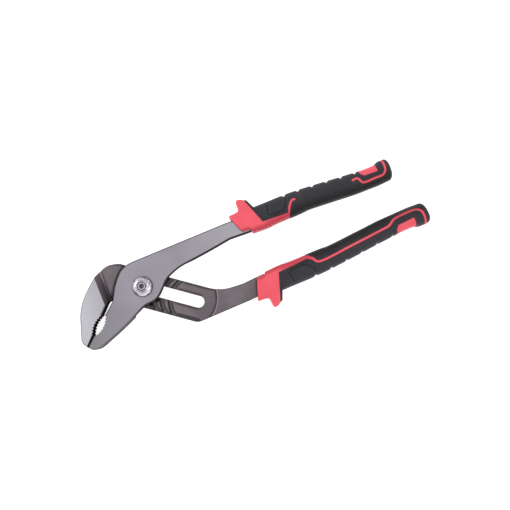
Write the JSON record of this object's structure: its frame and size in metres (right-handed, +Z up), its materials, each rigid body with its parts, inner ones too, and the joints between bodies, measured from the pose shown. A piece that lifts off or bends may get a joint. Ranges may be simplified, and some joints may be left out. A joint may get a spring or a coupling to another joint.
{
  "type": "water pump pliers",
  "caption": "Groove-joint water pump pliers: toothed curved jaws, a pivot bolt that slides along a slotted bar, and long handles in red and black grips.",
  "frame": {"origin": "middle of the bounding box in plan, on the surface that the tool lies on", "axes": "+X along the handles away from the jaws, +Y towards the front lever's handle, +Z up, out of the face with the nut"},
  "size_m": [0.2532, 0.0782, 0.018],
  "materials": {
    "satin_steel": "satin chrome-plated forging",
    "dark_steel": "darker satin forging",
    "chrome": "polished",
    "red_plastic": "satin moulded hard plastic",
    "black_rubber": "soft matt moulding"
  },
  "bodies": {
    "rear": {"rear_lever": "dark_steel", "rear_grip_core": "red_plastic", "rear_grip_cover": "black_rubber"},
    "carriage": {"pivot_bolt": "chrome", "pivot_nut": "chrome"},
    "front": {"front_lever": "satin_steel", "front_grip_core": "red_plastic", "front_grip_cover": "black_rubber"}
  },
  "joints": [
    {"name": "adjust_slide", "type": "slide", "parent": "rear", "child": "carriage", "axis": [0.7934, -0.6088, 0], "range_m": [0, 0.036]},
    {"name": "lever_pivot", "type": "hinge", "parent": "carriage", "child": "front", "pos_m": [-0.07488, 0.00846, 0.0085], "axis": [0, 0, 1], "range_deg": [0, 45]}
  ]
}
